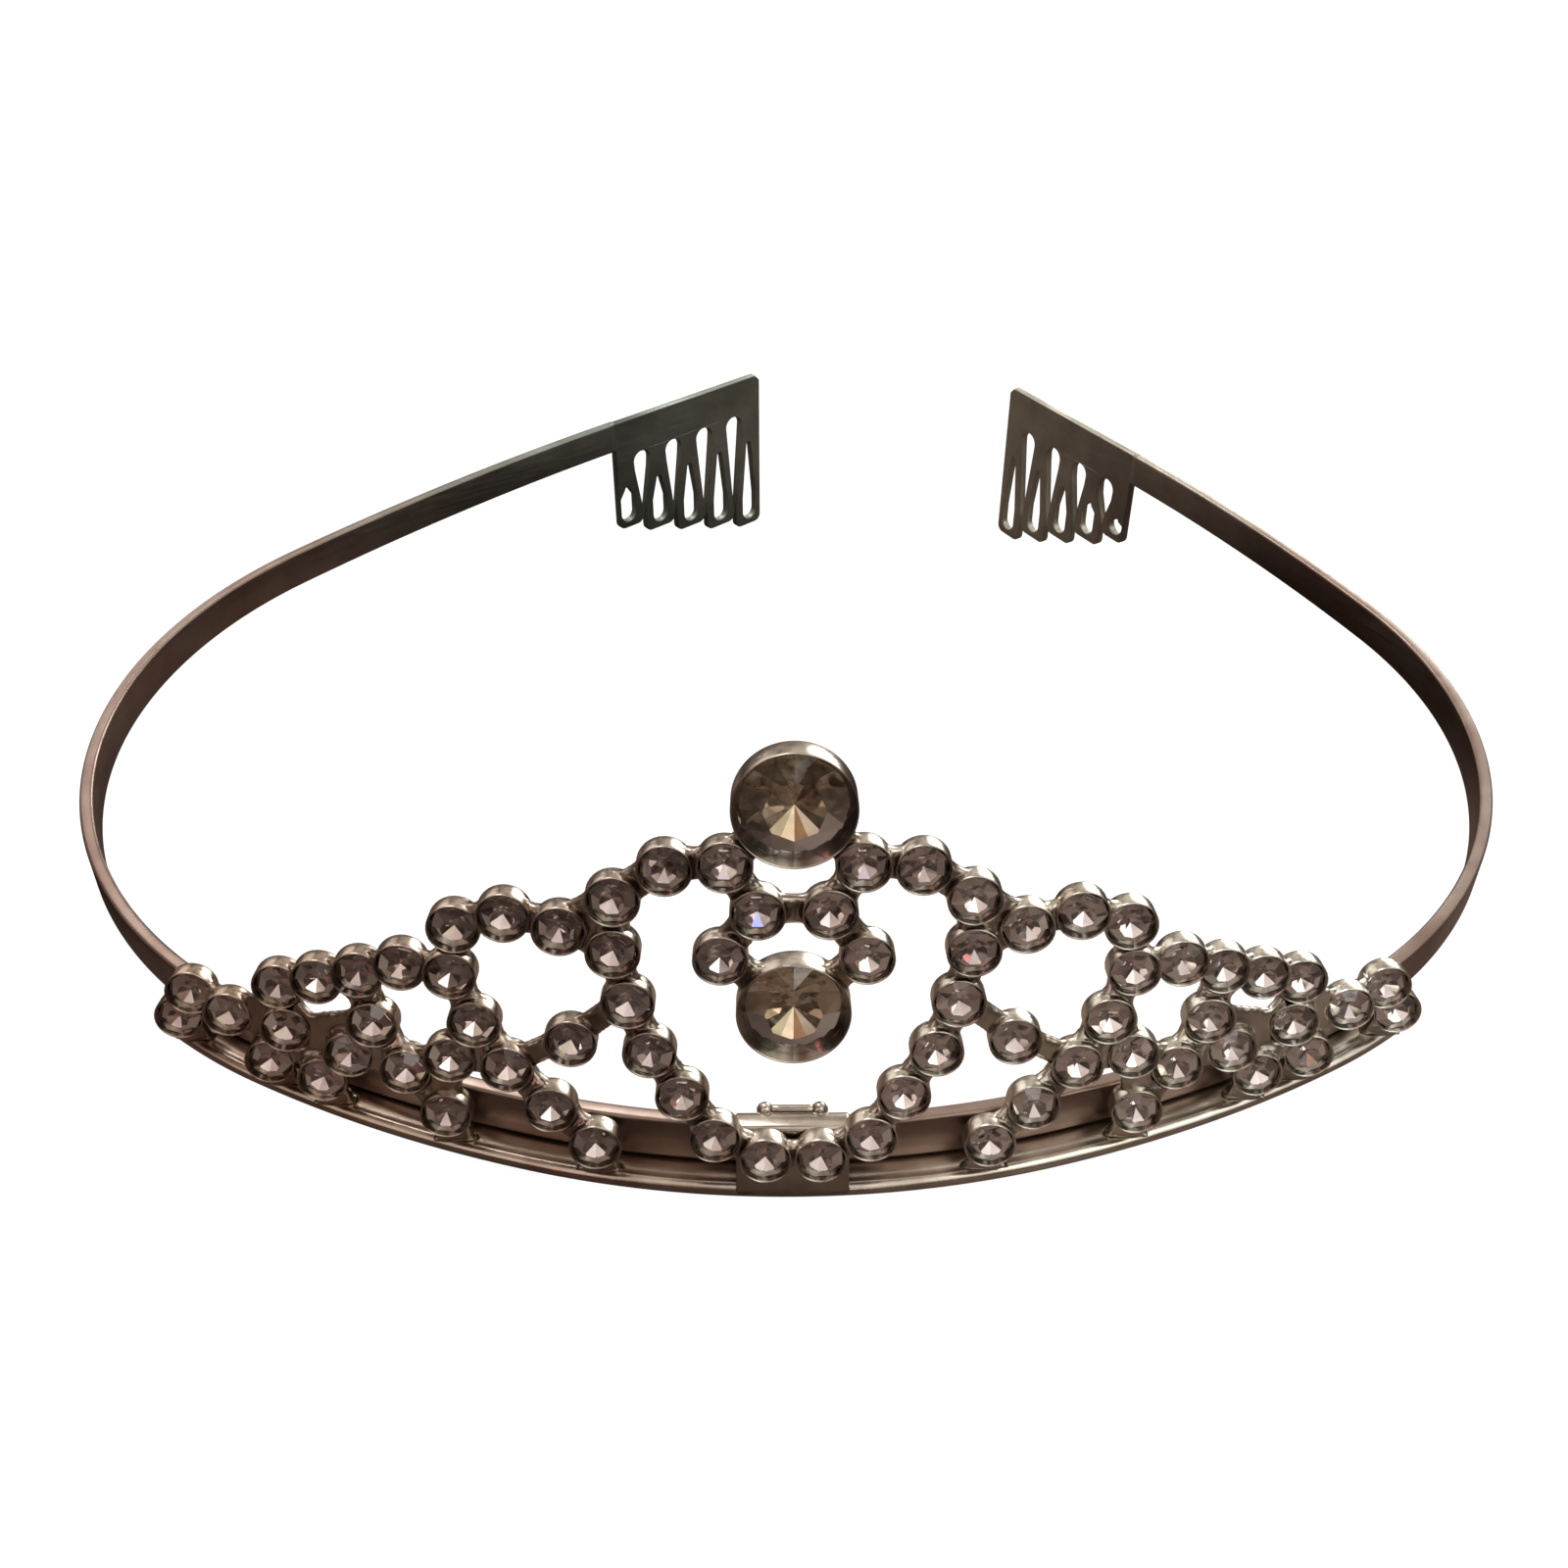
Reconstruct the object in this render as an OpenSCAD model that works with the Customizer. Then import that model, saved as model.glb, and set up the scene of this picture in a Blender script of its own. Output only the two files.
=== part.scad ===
// Crown headband: a flat metal strip bent to an open ring, a comb stamped at each
// free end, and an openwork casting of stone cups along its front.
// Lengths are in millimetres. The ring is drawn flat, its strip standing on z = 0 with
// the middle of its front at the origin, and then tilted to lie as it rests by itself:
// on the front of the casting's rail and on the last tooth of each comb.

/* [Strip] */
// Height of the strip
strip_h = 4; // [3.6:0.1:4.4]
// Thickness of the strip
strip_t = 1.2; // [1:0.1:1.3]
// Radius of the bend at the middle of the front
front_r = 73.6; // [70:0.2:78]
// Turn of that bend, each side of the middle
front_turn = 15; // [14:0.5:16]
// Radius of the flatter bend beside it
shoulder_r = 105; // [100:1:110]
// Turn of the flatter bend at the left
left_shoulder_turn = 13; // [12.6:0.1:13.4]
// Turn of the flatter bend at the right
right_shoulder_turn = 13.8; // [13.4:0.1:14.2]
// Radius of the bend at each side of the head
side_r = 48.9; // [47:0.1:51]
// Turn of the left side's bend
left_turn = 101.4; // [98:0.5:104]
// Turn of the right side's bend
right_turn = 82.6; // [80:0.5:86]
// Radius of the left arm's slight bend
left_arm_r = 285; // [270:5:300]
// Radius of the right arm's slight bend
right_arm_r = 250; // [240:5:270]
// Turn of the left arm's slight bend
left_arm_turn = 9.7; // [9:0.1:10.5]
// Turn of the right arm's slight bend
right_arm_turn = 9.6; // [9:0.1:10]

/* [Combs] */
// Length of a comb along the strip
comb_l = 25.2; // [24.5:0.1:26]
// Thickness of the stamped comb
comb_t = 1; // [0.8:0.1:1.1]
// Pitch of the looped teeth
tooth_pitch = 5.4; // [5.2:0.1:5.5]
// Distance from the comb's root to the first gap between teeth
first_gap = 4.2; // [4:0.1:4.4]
// Depth from the strip's top edge to the round tops of the gaps between teeth
gap_top = 5.2; // [5:0.1:5.6]
// Width of a gap between teeth at its round top
gap_w = 2.6; // [2.4:0.1:2.8]
// Width of the same gap at the bottom, where the loops nearly touch
gap_foot_w = 0.4; // [0.3:0.1:0.5]
// Depth from the strip's top edge to the top of the slot inside a tooth
slot_top = 9.7; // [9.5:0.1:10.5]
// Width of that slot near the tip
slot_w = 2.3; // [2.1:0.1:2.4]
// Width of that slot at its top
slot_neck_w = 0.7; // [0.6:0.1:0.8]
// Metal left round the tip of a loop
tip_wall = 1; // [0.9:0.1:1.1]
// How much shorter the left comb is at its root than at its free end
left_rise = 8.4; // [7:0.2:9]
// How much shorter the right comb is at its root than at its free end
right_rise = 11; // [10:0.2:11.2]

/* [Casting] */
// How far the faces of the cups stand before the strip, at the strip's bottom edge
face_off = 3.4; // [3.3:0.1:3.6]
// Backward lean of the casting
lean = 12; // [10:0.5:13]
// Outer diameter of a small cup
cup_d = 3.8; // [3.7:0.1:3.9]
// Depth of the small cups from face to back
cup_depth = 1.7; // [1.6:0.1:1.8]
// Depth of the large cups from face to back
large_depth = 2.2; // [2:0.1:2.4]
// Wall of a small cup
cup_wall = 0.27; // [0.25:0.01:0.3]
// Floor of every cup
cup_floor = 0.35; // [0.3:0.05:0.4]
// Outer diameter of the large cup at the top
top_cup_d = 8.3; // [8:0.1:8.4]
// Outer diameter of the large cup inside the arch
lower_cup_d = 7.9; // [7.7:0.1:8]
// Wall of a large cup
large_wall = 0.45; // [0.4:0.05:0.5]
// Height of the top cup's middle, along the leaning face
top_cup_h = 31.2; // [30.8:0.1:31.4]
// Height of the lower cup's middle, along the leaning face
lower_cup_h = 15.8; // [15.4:0.1:16]
// Width of the necks between neighbouring cups
neck_w = 1.8; // [1.6:0.1:1.8]
// Thickness of these necks
neck_t = 1.1; // [1:0.1:1.2]
// Width of the posts under the lowest cups
post_w = 2.2; // [2:0.1:2.4]
// Thickness of these posts
post_t = 0.8; // [0.7:0.1:0.9]
// Thickness of the flat webs in the wings
web_t = 0.8; // [0.7:0.1:0.9]

/* [Rail] */
// How far the rail stands out before the strip
rail_out = 2.3; // [2.1:0.1:2.4]
// Height of the rail's rounded lip
lip_h = 1.5; // [1.4:0.1:1.6]
// Length of the rail along the strip, each side of the middle
rail_l = 51.2; // [51:0.1:51.6]
// Width of the folded tab at the middle
tab_w = 7.6; // [7:0.2:8]
// Thickness of the folded tab
tab_t = 0.4; // [0.3:0.1:0.6]
// Thickness of its plate before the strip
tab_front_t = 1.5; // [1.4:0.1:1.6]
// How far it reaches down behind the strip
tab_back_h = 2.2; // [2:0.1:2.6]

/* [Stones] */
// Play between a stone and its cup
play = 0.06; // [0.05:0.01:0.08]
// Sides of a small stone
small_sides = 12; // [8:2:12]
// Width of a stone's table as a part of its diameter
table_part = 0.56; // [0.5:0.01:0.6]

/* [Rest] */
// Tilt at which the ring lies by itself, its back up
rest_tilt = 7.3; // [7:0.1:8]

/* [Hidden] */
$fn = 96;
over = 0.02;
seam = 0.05;
step = 2.4;
tip_corner = 1;
top_corner = 0.8;
root = 0.6;
inset = 0.1;
// How far above the tips a gap between teeth is at its narrowest, and its width, as a part
// of the full one, where its sides start to close
gap_narrow = 2.2;
gap_close = 0.92;
// How far the ends of a neck reach into the cups' walls
neck_sink = 0.06;
// How far the backs of the webs lie before the backs of the cups
web_set = 0.1;
// Nubs behind the tab: distance from the middle, diameter, and depth under the tab's top
nub_x = 2;
nub_d = 1.2;
nub_sink = 0.2;
GAPS = 4;
LEFT = -1;
RIGHT = 1;

// Bends of one side of the strip, from the middle of the front: [radius, turn]
function bends(side) = [
    [front_r, front_turn],
    [shoulder_r, side == LEFT ? left_shoulder_turn : right_shoulder_turn],
    side == LEFT ? [side_r, left_turn] : [side_r, right_turn],
    side == LEFT ? [left_arm_r, left_arm_turn] : [right_arm_r, right_arm_turn]];

// Heading, place and length run at the start of bend i, drawn for the right-hand side
function heading(side, i) = i == 0 ? 0 : heading(side, i - 1) + bends(side)[i - 1][1];
function turned(r, a, b) = r * [sin(b) - sin(a), cos(a) - cos(b)];
function start(side, i) = i == 0 ? [0, 0]
    : start(side, i - 1)
      + turned(bends(side)[i - 1][0], heading(side, i - 1), heading(side, i));
function run_to(side, i) = i == 0 ? 0
    : run_to(side, i - 1) + bends(side)[i - 1][0] * bends(side)[i - 1][1] * PI / 180;

// Place on the strip at the length s from the middle, left of it if s is below 0
function side_of(s) = s < 0 ? LEFT : RIGHT;
function bend_at(side, s, i = 0) = i == 3 || s < run_to(side, i + 1) ? i : bend_at(side, s, i + 1);
function heading_at(s) =
    let (side = side_of(s), i = bend_at(side, abs(s)))
    heading(side, i) + (abs(s) - run_to(side, i)) / bends(side)[i][0] * 180 / PI;
function place_at(s) =
    let (side = side_of(s), i = bend_at(side, abs(s)), p = start(side, i),
         q = turned(bends(side)[i][0], heading(side, i), heading_at(s)))
    [side * (p[0] + q[0]), p[1] + q[1]];
// The same place moved out from the ring's outer face
function beside(s, out) = place_at(s) + out * [side_of(s) * sin(heading_at(s)), -cos(heading_at(s))];
// Lengths along the strip from a to b in short equal steps
function steps(a, b) = [for (k = [0:ceil((b - a) / step)]) a + (b - a) * k / ceil((b - a) / step)];
// Plan of a band between two distances from the ring's outer face
function band(a, b, out, inner) = concat([for (s = steps(a, b)) beside(s, out)],
    [for (k = [len(steps(a, b)) - 1:-1:0]) beside(steps(a, b)[k], inner)]);

// A point of the leaning face at length s, height h along the face, depth d behind it
function face_point(s, h, d) =
    let (p = beside(s, face_off - h * sin(lean) - d * cos(lean)))
    [p[0], p[1], h * cos(lean) - d * sin(lean)];

// The ring's rest: the rail's bottom and both combs' last teeth lie on one plane
function along_comb(side, u) = start(side, 4) + u * [cos(heading(side, 4)), sin(heading(side, 4))];
function tip_y(side) = along_comb(side, gap_u(GAPS) + tip_corner)[1]
    + strip_t * cos(heading(side, 4));
function rest_z(y) = -lip_h - (y + rail_out - lip_h / 2) * tan(rest_tilt);
function tip_depth(side) = strip_h - rest_z(tip_y(side));
function rise(side) = side == LEFT ? left_rise : right_rise;
// Where gap i lies along the comb, gap 0 at its root and the one after the last at its free end
function gap_u(i) = i == 0 ? 0 : i > GAPS ? comb_l : first_gap + (i - 1) * tooth_pitch;
// Depth of the tips at u along the comb
function tips_at(side, u) = tip_depth(side) - rise(side) * (1 - u / comb_l);
// How far the ring's outer face reaches sideways
function reach(side) = start(side, 2)[0] + turned(side_r, heading(side, 2), 90)[0];
// Row y of a point of the flat ring once it is tilted, before it is centred
function tilted_y(y, z) = y * cos(rest_tilt) - z * sin(rest_tilt);

// Small cups of one half, mirrored to the other.
// Each run is [first s, first h, last s, last h, bulge to the left of its way, cups]
ARCH_RUNS = [
    [4.7, 27.05, 8.8, 26.55, 0, 2],
    [12.4, 23.85, 11.4, 15.85, 0.5, 3],
    [9.9, 11.95, 5.4, 5.05, 0, 3],
    [1.9, 3.4, 1.9, 3.4, 0, 1],
    [2.45, 23.55, 5, 19.95, 0, 2]];
WING_RUNS = [
    [16.2, 21.05, 24, 19.65, 1, 3],
    [24.4, 15.75, 20.2, 8.85, 0.4, 3],
    [17, 6.05, 13.8, 3.4, 0, 2],
    [15.5, 12.05, 15.5, 12.05, 0, 1],
    [28.3, 15.45, 39, 10.35, 0, 4],
    [30.8, 9.75, 35.3, 3.3, -0.2, 3],
    [38.5, 6.65, 40.1, 3.1, 0, 2],
    [24.6, 8.55, 28.2, 6.45, 0, 2],
    [25, 3.5, 25, 3.5, 0, 1],
    [44, 5.85, 47.9, 6.05, 0, 2],
    [49.3, 3, 49.3, 3, 0, 1]];

function run_cup(r, k) =
    let (n = max(r[5] - 1, 1), t = k / n, d = [r[2] - r[0], r[3] - r[1]],
         l = max(norm(d), over), b = r[4] * 4 * t * (1 - t))
    [r[0] + d[0] * t - d[1] / l * b, r[1] + d[1] * t + d[0] / l * b];
function cups(runs) = [for (r = runs) for (k = [0:r[5] - 1]) run_cup(r, k)];
function arch(i, k) = run_cup(ARCH_RUNS[i], k);
function wing(i, k) = run_cup(WING_RUNS[i], k);
function flip(c, side) = [side * c[0], c[1]];

arch_cups = cups(ARCH_RUNS);
wing_cups = cups(WING_RUNS);
half_cups = concat(arch_cups, wing_cups);

lip_nose = (lip_h - seam) / 2;
cup_r = cup_d / 2;
seat_r = cup_r - cup_wall;
// Neighbours closer than this, middle to middle, are cast together by a neck
neck_reach = 4.75;

// Webs of one wing: each is a list of corners [s, h] on the face
WEBS = [
    [[28.2, 6.1], [30.8, 9.4], [32.8, 6.2]],
    [[30.8, 9.4], [35.7, 11.7], [39, 10], [38.5, 6.3], [40.1, 2.9], [35.3, 3.1], [32.8, 6.2]],
    [[38.5, 7], [39.6, 9.6], [42, 7.9], [44, 6.9], [48, 6.6], [48, 4.6], [44, 4.3], [39.6, 4.2]]];
// The slot left open under the outer chain: [s, h, length, height, slope]
SLOT = [35.1, 9.3, 3.4, 1.2, -24];

// Carries its children to the face at s and h; their -y is out of the face
module at_face(s, h) {
    p = place_at(s);
    translate([p[0], p[1], 0]) rotate([0, 0, side_of(s) * heading_at(s)])
        translate([0, -face_off, 0]) rotate([-lean, 0, 0]) translate([0, 0, h]) children();
}

// Carries its children to the cup at c. All cups look straight ahead, as the casting left
// its mould; their -y is out of the cup
module at_cup(c) {
    translate(face_point(c[0], c[1], 0)) rotate([-lean, 0, 0]) children();
}

// Lays the whole ring down as it rests, over the middle of its own outline
module laid() {
    low = face_point(arch(3, 0)[0], arch(3, 0)[1] - cup_r, 0);
    front_y = tilted_y(low[1], low[2]);
    back_y = tilted_y(along_comb(LEFT, comb_l)[1], strip_h - tip_depth(LEFT) + tip_corner);
    rest_drop = -lip_h * cos(rest_tilt) - (rail_out - lip_h / 2) * sin(rest_tilt);
    translate([(reach(LEFT) - reach(RIGHT)) / 2, -(front_y + back_y) / 2, -rest_drop])
        rotate([rest_tilt, 0, 0]) children();
}

// Strip and combs

// Points of an arc round u and v
function arc(u, v, r, from, to, n = 12) = [for (k = [0:n]) let (a = from + (to - from) * k / n)
    [u + r * cos(a), v + r * sin(a)]];

// Foot of tooth i, which is longer towards the comb's free end
function tooth_foot(side, i) = tips_at(side, gap_u(i + 1));

// Outline of tooth i from its far side to its near one, then of the gap before it: round at
// the top, narrow at the foot and open at the bottom
function tooth_outline(side, i) =
    let (c = tip_corner, r = gap_w / 2, q = gap_foot_w / 2, u = gap_u(i),
         near = u + (i == 0 ? -inset : q), far = gap_u(i + 1) - (i == GAPS ? 0 : q),
         v = tooth_foot(side, i) - c, narrow = tips_at(side, u) - gap_narrow, wide = gap_top + 2 * r)
    concat(arc(far - c, v, c, 0, 90, 5), arc(near + c, v, c, 90, 180, 5),
        i == 0 ? [] : concat([[u + q, narrow], [u + r * gap_close, wide]],
            arc(u, gap_top + r, r, 0, -180), [[u - r * gap_close, wide], [u - q, narrow]]));

// One comb in its own plane: u runs from the root to the free end, v down from the top
module comb_outline(side) {
    difference() {
        polygon(concat([[-root, inset], [comb_l - top_corner, inset], [comb_l, inset + top_corner]],
            [for (i = [GAPS:-1:0]) each tooth_outline(side, i)],
            [[-inset, strip_h - inset], [-root, strip_h - inset]]));
        for (i = [0:GAPS]) tooth_slot(first_gap + (i - 0.5) * tooth_pitch, tooth_foot(side, i) - tip_wall);
    }
}

// Slot inside a tooth: narrow at the top and round at the foot
module tooth_slot(u, foot) {
    r = slot_w / 2;
    q = slot_neck_w / 2;
    wide = max(foot - 3 * r, slot_top + 2 * q);
    polygon(concat(arc(u, slot_top + q, q, -180, 0), [[u + r, wide]],
                   arc(u, foot - r, r, 0, 180), [[u - r, wide]]));
}

module comb(side) {
    p = start(side, 4);
    mirror([side == LEFT ? 1 : 0, 0, 0])
        translate([p[0], p[1], strip_h]) rotate([0, 0, heading(side, 4)])
            translate([0, (strip_t + comb_t) / 2, 0]) rotate([90, 0, 0])
                linear_extrude(comb_t) mirror([0, 1, 0]) comb_outline(side);
}

module headband() {
    color([0.36, 0.34, 0.31]) laid() {
        linear_extrude(strip_h)
            polygon(band(-run_to(LEFT, 4), run_to(RIGHT, 4), 0, -strip_t));
        for (side = [LEFT, RIGHT]) comb(side);
    }
}

// Casting

module cup_body(r, depth = cup_depth) {
    rotate([-90, 0, 0]) cylinder(r = r, h = depth);
}

module cup_seat(r, depth = cup_depth) {
    translate([0, -over, 0]) rotate([-90, 0, 0]) cylinder(r = r, h = depth - cup_floor + over);
}

// Neck between the cups at a and b, of radii ra and rb, each end inside a cup's wall
function in_wall(r) = sqrt(r * r - pow(neck_w / 2 + neck_sink, 2));
module neck(a, b, ra = cup_r, rb = cup_r) {
    way = (b - a) / norm(b - a);
    near = in_wall(ra);
    far = norm(b - a) - in_wall(rb);
    mid = a + way * (near + far) / 2;
    at_face(mid[0], mid[1]) rotate([0, -atan2(way[1], way[0]), 0])
        translate([(near - far) / 2, (cup_depth - neck_t) / 2, -neck_w / 2])
            cube([far - near, neck_t, neck_w]);
}

// Necks that reach further than the next cup
LONG_NECKS = [
    [arch(1, 2), wing(3, 0)],
    [wing(3, 0), wing(1, 2)],
    [wing(7, 0), wing(8, 0)]];

module necks(side) {
    n = len(half_cups);
    for (i = [0:n - 2]) for (j = [i + 1:n - 1])
        if (norm(half_cups[i] - half_cups[j]) < neck_reach)
            neck(flip(half_cups[i], side), flip(half_cups[j], side));
    for (b = LONG_NECKS) neck(flip(b[0], side), flip(b[1], side));
    neck(flip(arch(4, 1), side), [0, lower_cup_h], rb = lower_cup_d / 2);
    neck(flip(arch(0, 0), side), [0, top_cup_h], rb = top_cup_d / 2);
}

module web(corners, side) {
    s0 = (min([for (c = corners) c[0]]) + max([for (c = corners) c[0]])) / 2;
    at_face(side * s0, 0) translate([0, cup_depth - web_set, 0]) rotate([90, 0, 0])
        linear_extrude(web_t) polygon([for (c = corners) [side * (c[0] - s0), c[1]]]);
}

module slot(side) {
    at_face(side * SLOT[0], SLOT[1]) rotate([-90, 0, 0]) rotate([0, 0, -side * SLOT[4]]) {
        translate([-SLOT[2] / 2, -SLOT[3] / 2, 0]) cube([SLOT[2], SLOT[3], 2 * cup_depth]);
        for (x = [-1, 1]) translate([x * SLOT[2] / 2, 0, 0])
            cylinder(d = SLOT[3], h = 2 * cup_depth);
    }
}

// Posts from the lowest cups down to the rail
module posts(side) {
    for (c = half_cups) if (c[1] < 4)
        at_face(side * c[0], 0)
            translate([-post_w / 2, cup_depth - post_t / 2, -lip_h / 2]) cube([post_w, post_t, c[1]]);
}

// Section of the rail, as [out, up]: a ledge under the strip with a rounded nose
RAIL_SECTION = concat([[-strip_t, -seam], [-strip_t, -lip_h]],
    [for (a = [-90:22.5:90]) [rail_out - lip_nose + lip_nose * cos(a), -seam - lip_nose * (1 - sin(a))]]);

module rail() {
    stations = steps(-rail_l, rail_l);
    n = len(RAIL_SECTION);
    last = (len(stations) - 1) * n;
    points = [for (s = stations) for (c = RAIL_SECTION) let (p = beside(s, c[0])) [p[0], p[1], c[1]]];
    sides = [for (i = [0:n:last - n]) for (j = [0:n - 1])
        [i + j, i + (j + 1) % n, i + n + (j + 1) % n, i + n + j]];
    ends = [[for (j = [n - 1:-1:0]) j], [for (j = [0:n - 1]) last + j]];
    polyhedron(points, concat(sides, ends));
}

// Tab at the middle: a plate before the strip, folded over its top and down behind it
module tab() {
    t = tab_front_t;
    back = strip_t + pow(tab_w / 2, 2) / (2 * (front_r - strip_t)) + seam;
    top = strip_h + seam;
    translate([-tab_w / 2, -seam - t, -lip_h / 2]) cube([tab_w, t, top + lip_h / 2 + tab_t]);
    translate([-tab_w / 2, -seam - over, top]) cube([tab_w, back + seam + over + tab_t, tab_t]);
    translate([-tab_w / 2, back, top - tab_back_h]) cube([tab_w, tab_t, tab_back_h + over]);
    for (x = [-nub_x, nub_x]) translate([x, back + tab_t / 2, top + tab_t - nub_sink]) sphere(d = nub_d);
}

module crown_half(side) {
    for (c = half_cups) at_cup(flip(c, side)) cup_body(cup_r);
    necks(side);
    difference() {
        for (w = WEBS) web(w, side);
        slot(side);
    }
    posts(side);
}

module crown_front() {
    color([0.72, 0.70, 0.66]) laid() difference() {
        union() {
            for (side = [LEFT, RIGHT]) crown_half(side);
            for (c = [arch(4, 0), arch(3, 0)]) neck(flip(c, LEFT), c);
            at_cup([0, top_cup_h]) cup_body(top_cup_d / 2, large_depth);
            at_cup([0, lower_cup_h]) cup_body(lower_cup_d / 2, large_depth);
            rail();
            tab();
        }
        for (side = [LEFT, RIGHT]) for (c = half_cups) at_cup(flip(c, side)) cup_seat(seat_r);
        at_cup([0, top_cup_h]) cup_seat(top_cup_d / 2 - large_wall, large_depth);
        at_cup([0, lower_cup_h]) cup_seat(lower_cup_d / 2 - large_wall, large_depth);
    }
}

// Stones

// Small cut stone, its table a little proud of the face and its blunt point in the cup
module small_stone() {
    r = seat_r - play;
    proud = 0.05;
    crown = 0.42;
    girdle = 0.12;
    blunt = 0.04;
    point = cup_depth - cup_floor - crown - girdle - play;
    rotate([-90, 0, 0]) translate([0, 0, -proud]) {
        cylinder(r1 = r * table_part, r2 = r, h = crown, $fn = small_sides);
        translate([0, 0, crown]) cylinder(r = r, h = girdle, $fn = small_sides);
        translate([0, 0, crown + girdle]) cylinder(r1 = r, r2 = r * blunt, h = point, $fn = small_sides);
    }
}

// Ring of n points of radius r at height z, turned by half a step if half is 1
function ring(n, r, z, half) = [for (k = [0:n - 1]) [r * cos(360 / n * (k + half / 2)),
                                                     r * sin(360 / n * (k + half / 2)), z]];
// How far the table of a large stone stands out of its cup
large_proud = 0.25;
// Parts of a brilliant: heights of crown and girdle, and the place of its upper and lower
// middle corners, out from the axis and along the crown or the part behind the girdle
crown_part = 0.3;
girdle_part = 0.06;
UPPER = [0.8, 0.55];
LOWER = [0.45, 0.52];
// Round brilliant: table, stars, kites and halves above, mains and halves below
module brilliant(r, depth) {
    crown = crown_part * r;
    belt = crown + girdle_part * r;
    n = 8;
    pts = concat(
        ring(n, r * table_part, 0, 0),
        ring(n, r * UPPER[0], crown * UPPER[1], 1),
        ring(2 * n, r, crown, 0),
        ring(2 * n, r, belt, 0),
        ring(n, r * LOWER[0], belt + (depth - belt) * LOWER[1], 1),
        [[0, 0, depth]]);
    T = 0;
    M = n;
    G = 2 * n;
    H = 4 * n;
    L = 6 * n;
    A = 7 * n;
    faces = concat(
        [[for (k = [0:n - 1]) T + k]],
        [for (k = [0:n - 1]) [T + k, M + k, T + (k + 1) % n]],
        [for (k = [0:n - 1]) [T + k, G + 2 * k, M + k]],
        [for (k = [0:n - 1]) [T + k, M + (k + n - 1) % n, G + 2 * k]],
        [for (k = [0:n - 1]) [M + k, G + 2 * k, G + 2 * k + 1]],
        [for (k = [0:n - 1]) [M + k, G + 2 * k + 1, G + (2 * k + 2) % (2 * n)]],
        [for (j = [0:2 * n - 1]) [G + j, H + j, H + (j + 1) % (2 * n), G + (j + 1) % (2 * n)]],
        [for (k = [0:n - 1]) [H + 2 * k, L + k, H + 2 * k + 1]],
        [for (k = [0:n - 1]) [H + 2 * k + 1, L + k, H + (2 * k + 2) % (2 * n)]],
        [for (k = [0:n - 1]) [H + 2 * k, A, L + k]],
        [for (k = [0:n - 1]) [H + 2 * k, L + (k + n - 1) % n, A]]);
    rotate([-90, 0, 0]) translate([0, 0, -large_proud]) polyhedron(pts, faces);
}

module large_stone(h, d) {
    r = d / 2 - large_wall - play;
    at_cup([0, h]) brilliant(r, large_depth - cup_floor + large_proud - play);
}

module large_stone_top() {
    color([0.55, 0.50, 0.38]) laid() large_stone(top_cup_h, top_cup_d);
}

module large_stone_lower() {
    color([0.55, 0.50, 0.38]) laid() large_stone(lower_cup_h, lower_cup_d);
}

module stones(places, side) {
    color([0.62, 0.56, 0.54]) for (c = places) at_cup(flip(c, side)) small_stone();
}

module center_stones() {
    laid() for (side = [LEFT, RIGHT]) stones(arch_cups, side);
}

module left_stones() {
    laid() stones(wing_cups, LEFT);
}

module right_stones() {
    laid() stones(wing_cups, RIGHT);
}

headband();
crown_front();
large_stone_top();
large_stone_lower();
center_stones();
left_stones();
right_stones();
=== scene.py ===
"""Looks of the crown headband: cast cups with cut stones on a bent strip with two combs.

Shapes are worked out in the flat ring's own frame, in millimetres: the origin is the middle
of the strip's front at its bottom edge, x is right, y is back and z is up. laid() then takes
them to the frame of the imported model, where the ring rests tilted on the floor.
"""

import math
import random
from itertools import combinations

import bpy
import numpy as np
from mathutils import Matrix, Vector


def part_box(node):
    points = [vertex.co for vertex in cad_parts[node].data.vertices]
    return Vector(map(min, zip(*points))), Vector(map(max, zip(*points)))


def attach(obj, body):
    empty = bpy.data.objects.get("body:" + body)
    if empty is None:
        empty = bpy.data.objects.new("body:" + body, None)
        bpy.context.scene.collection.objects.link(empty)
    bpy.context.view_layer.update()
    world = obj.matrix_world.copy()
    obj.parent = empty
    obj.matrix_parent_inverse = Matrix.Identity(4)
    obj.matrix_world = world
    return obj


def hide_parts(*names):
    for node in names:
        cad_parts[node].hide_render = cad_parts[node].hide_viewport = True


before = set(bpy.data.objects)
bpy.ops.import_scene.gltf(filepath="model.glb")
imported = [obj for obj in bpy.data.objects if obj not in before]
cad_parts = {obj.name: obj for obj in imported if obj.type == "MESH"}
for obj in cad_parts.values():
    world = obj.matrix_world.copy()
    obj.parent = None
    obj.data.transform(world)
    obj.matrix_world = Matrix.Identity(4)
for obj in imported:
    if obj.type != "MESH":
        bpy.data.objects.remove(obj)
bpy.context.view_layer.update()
random.seed(7)

MM = 0.001
LEFT, RIGHT = -1, 1

# Strip
STRIP_H, STRIP_T, STRIP_EDGE = 4.0, 1.2, 0.3
BENDS = {
    LEFT: [(73.6, 15.0), (105.0, 13.0), (48.9, 101.4), (285.0, 9.7)],
    RIGHT: [(73.6, 15.0), (105.0, 13.8), (48.9, 82.6), (250.0, 9.6)],
}
# Combs
COMB_L, COMB_T = 25.2, 1.0
FIRST_GAP, TOOTH_PITCH, GAPS = 4.2, 5.4, 4
GAP_TOP, GAP_W, GAP_FOOT_W = 5.2, 2.6, 0.4
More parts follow.
